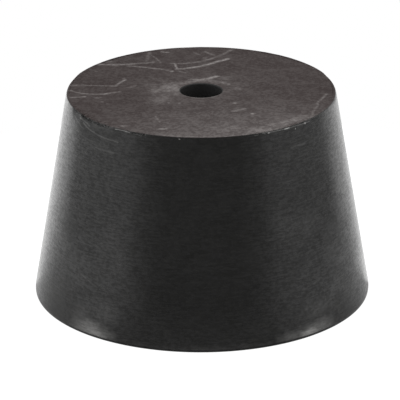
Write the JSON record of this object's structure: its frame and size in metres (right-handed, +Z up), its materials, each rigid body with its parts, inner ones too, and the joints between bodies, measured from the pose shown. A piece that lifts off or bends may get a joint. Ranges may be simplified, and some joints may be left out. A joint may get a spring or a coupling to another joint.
{
  "type": "rubber stopper",
  "caption": "Tapered round rubber plug that seals the neck of a flask or bottle, with a straight hole along its axis for a glass tube.",
  "frame": {"origin": "centre of the wide end face, on the stopper's axis, where the stopper stands", "axes": "+Z up the axis from the wide end to the narrow end; the body is round, so X and Y are any two directions across it"},
  "size_m": [0.041, 0.041, 0.0254],
  "materials": {
    "rubber": "black rubber: satin ground side with fine rings around it, matt cut end faces with pale scuffs"
  },
  "bodies": {
    "root": {"stopper": "rubber"}
  },
  "joints": []
}
